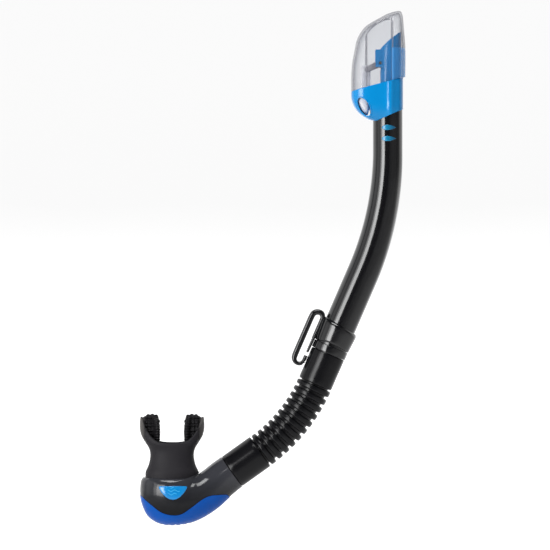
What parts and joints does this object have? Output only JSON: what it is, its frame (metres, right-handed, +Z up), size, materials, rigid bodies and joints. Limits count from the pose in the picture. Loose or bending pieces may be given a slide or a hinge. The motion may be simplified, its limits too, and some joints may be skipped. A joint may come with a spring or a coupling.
{
  "type": "snorkel tube",
  "caption": "Dry-top snorkel: float valve under a clear cover, curved tube, strap clip, corrugated flexible hose and swivelling purge chamber with a silicone mouthpiece.",
  "frame": {"origin": "centre of the mask-strap slot in the clip, on the snorkel's mid-plane", "axes": "+Z up with the upper tube upright, +X from the mouth's side towards the back of the head's side of the tube, +Y across the tube along the strap, away from the decorated face"},
  "size_m": [0.2285, 0.0444, 0.4425],
  "materials": {
    "clear_cover": "clear, polished polycarbonate",
    "blue_plastic": "polished bright blue plastic",
    "blue_guard": "polished deep blue plastic",
    "blue_trim": "satin blue inlay",
    "clear_silicone": "milky silicone",
    "grey_plastic": "satin grey plastic",
    "steel_pin": "stainless steel",
    "white_float": "satin off-white plastic",
    "black_tube": "polished black plastic",
    "black_silicone": "satin black silicone",
    "smoke_plastic": "smoke-grey translucent plastic",
    "mouth_silicone": "matte dark grey silicone"
  },
  "bodies": {
    "tube": {"main_tube": "black_tube", "dry_top_base": "blue_plastic", "top_cover": "clear_cover", "valve_tower": "blue_plastic", "valve_seat": "clear_silicone", "lever_pin": "steel_pin", "tube_seal": "black_silicone", "inlay_upper": "blue_trim", "inlay_lower": "blue_trim", "cuff_ring": "black_tube", "flex_hose": "black_silicone"},
    "valve_float": {"valve_float": "white_float"},
    "valve_lever": {"valve_lever": "grey_plastic", "flap_seal": "clear_silicone", "link_pin": "steel_pin"},
    "strap_clip": {"strap_clip": "black_tube"},
    "hose_end": {"swivel_bush": "black_tube"},
    "purge_chamber": {"elbow_body": "smoke_plastic", "badge": "blue_trim", "purge_seat": "smoke_plastic", "purge_guard": "blue_guard", "mouthpiece": "mouth_silicone"},
    "purge_valve": {"purge_valve": "clear_silicone"}
  },
  "joints": [
    {"name": "float_rise", "type": "slide", "parent": "tube", "child": "valve_float", "axis": [0, 0, 1], "range_m": [0, 0.00539]},
    {"name": "lever_turn", "type": "hinge", "parent": "tube", "child": "valve_lever", "pos_m": [0.0618, 0, 0.238], "axis": [0, 1, 0], "range_deg": [0, 26]},
    {"name": "clip_swivel", "type": "hinge", "parent": "tube", "child": "strap_clip", "pos_m": [0.01871, 0, -0.00813], "axis": [0.3987, 0, 0.9171], "continuous": true},
    {"name": "hose_bend", "type": "hinge", "parent": "tube", "child": "hose_end", "pos_m": [-0.01365, 0, -0.06978], "axis": [0, 1, 0], "range_deg": [-31, 45], "stiffness_Nm_per_rad": 0.5, "springref_deg": 7.33, "deforming": ["flex_hose"]},
    {"name": "mouthpiece_swivel", "type": "hinge", "parent": "hose_end", "child": "purge_chamber", "pos_m": [-0.0656, 0, -0.11309], "axis": [-0.8141, 0, -0.5807], "continuous": true},
    {"name": "purge_lift", "type": "slide", "parent": "purge_chamber", "child": "purge_valve", "axis": [0, 0, -1], "range_m": [0, 0.0012], "stiffness_N_per_m": 60}
  ],
  "couplings": [
    {"joint": "lever_turn", "follows": "float_rise", "rad_per_m": 84.16}
  ]
}
